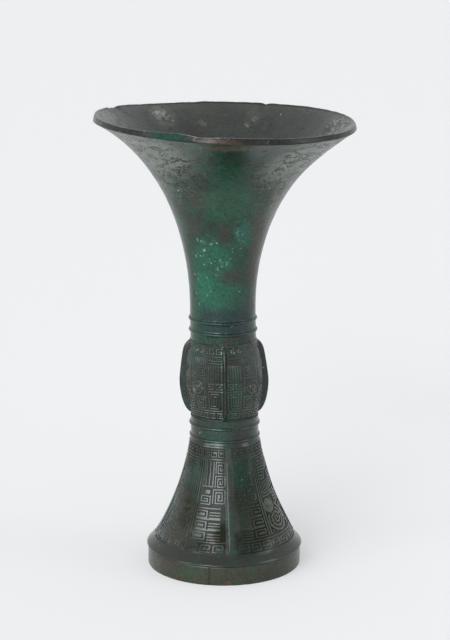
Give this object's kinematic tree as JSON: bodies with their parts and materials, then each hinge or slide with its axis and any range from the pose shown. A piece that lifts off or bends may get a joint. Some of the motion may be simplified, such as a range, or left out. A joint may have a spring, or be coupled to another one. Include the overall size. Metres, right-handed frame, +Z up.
{
  "type": "bronze gu beaker",
  "caption": "Tall ancient-style bronze beaker with a trumpet mouth, a relief-cast flanged knop and a flared, ornamented foot on a standing ring.",
  "frame": {"origin": "centre of the standing face, on the vessel's axis", "axes": "+Z up along the vessel's axis, -Y towards the front flange, +X to the right of it"},
  "size_m": [0.15, 0.15, 0.2655],
  "materials": {
    "trumpet_bronze": "green and grey-brown patina, satin",
    "knop_bronze": "dark green-black patina, satin",
    "foot_bronze": "dark green-brown patina, satin",
    "ring_bronze": "brown-green patina, satin",
    "flange_bronze": "brown-green patina, worn edges",
    "floor_bronze": "dull brown crust",
    "chaplet_bronze": "patina a little browner than the wall",
    "solder": "dull grey"
  },
  "bodies": {
    "root": {"band_chaplets": "chaplet_bronze", "cup_floor": "floor_bronze", "foot": "foot_bronze", "foot_flange_back": "flange_bronze", "foot_flange_front": "flange_bronze", "foot_flange_left": "flange_bronze", "foot_flange_right": "flange_bronze", "foot_ring": "ring_bronze", "knop": "knop_bronze", "knop_flange_back": "flange_bronze", "knop_flange_front": "flange_bronze", "knop_flange_left": "flange_bronze", "knop_flange_right": "flange_bronze", "lower_solder_ring": "solder", "neck_chaplets": "chaplet_bronze", "trumpet_mouth": "trumpet_bronze", "upper_solder_ring": "solder"}
  },
  "joints": []
}
